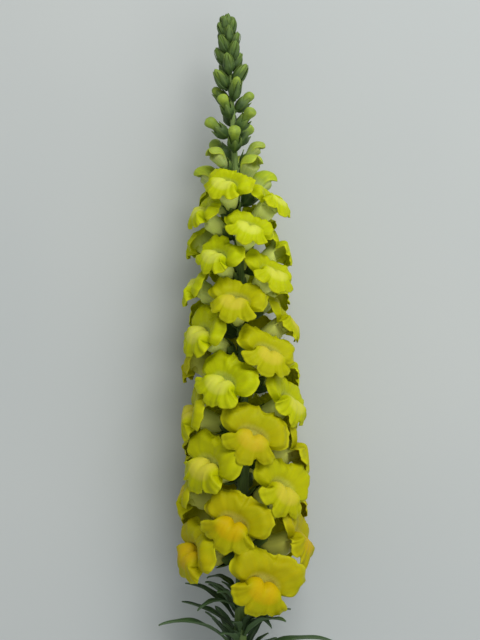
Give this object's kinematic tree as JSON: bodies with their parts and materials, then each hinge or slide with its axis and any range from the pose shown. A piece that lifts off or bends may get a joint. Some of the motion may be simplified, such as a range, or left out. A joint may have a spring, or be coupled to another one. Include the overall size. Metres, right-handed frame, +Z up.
{
  "type": "cut snapdragon stem",
  "caption": "Cut stem of yellow snapdragon lying down: two-lipped flowers up a spike that ends in green buds, narrow leaves below.",
  "frame": {"origin": "centre of the bounding box at its bottom, on the surface that the stem lies on", "axes": "+Y along the stem from its cut end to its bud tip, +Z up from the surface it lies on, +X to the right seen from above with the tip at the top"},
  "size_m": [0.109, 0.5076, 0.0872],
  "materials": {
    "stem": "soft, slightly waxy green skin with fine hairs",
    "petal": "velvety, slightly translucent petal",
    "opening_petal": "satin young petal, pale green-yellow",
    "leaf": "satin dark green leaf blade"
  },
  "bodies": {
    "root": {"stem": "stem", "flower_01": "petal", "flower_02": "petal", "flower_03": "petal", "flower_04": "petal", "flower_05": "petal", "flower_06": "petal", "flower_07": "petal", "flower_08": "petal", "flower_09": "petal", "flower_10": "petal", "flower_11": "petal", "flower_12": "petal", "flower_13": "petal", "flower_14": "petal", "flower_15": "petal", "flower_16": "petal", "flower_17": "petal", "flower_18": "petal", "flower_19": "petal", "flower_20": "petal", "flower_21": "petal", "flower_22": "petal", "flower_23": "petal", "flower_24": "petal", "flower_25": "petal", "flower_26": "petal", "flower_27": "petal", "flower_28": "petal", "flower_29": "petal", "flower_30": "petal", "flower_31": "petal", "flower_32": "petal", "flower_33": "petal", "flower_34": "petal", "flower_35": "petal", "flower_36": "petal", "flower_37": "petal", "flower_38": "petal", "flower_39": "petal", "flower_40": "petal", "opening_bud_01": "opening_petal", "opening_bud_02": "opening_petal", "opening_bud_03": "opening_petal", "opening_bud_04": "opening_petal", "opening_bud_05": "opening_petal", "opening_bud_06": "opening_petal", "leaf_01": "leaf", "leaf_02": "leaf", "leaf_03": "leaf", "leaf_04": "leaf", "leaf_05": "leaf", "leaf_06": "leaf", "leaf_07": "leaf", "leaf_08": "leaf", "leaf_09": "leaf", "leaf_10": "leaf", "leaf_11": "leaf", "leaf_12": "leaf", "leaf_13": "leaf"}
  },
  "joints": []
}
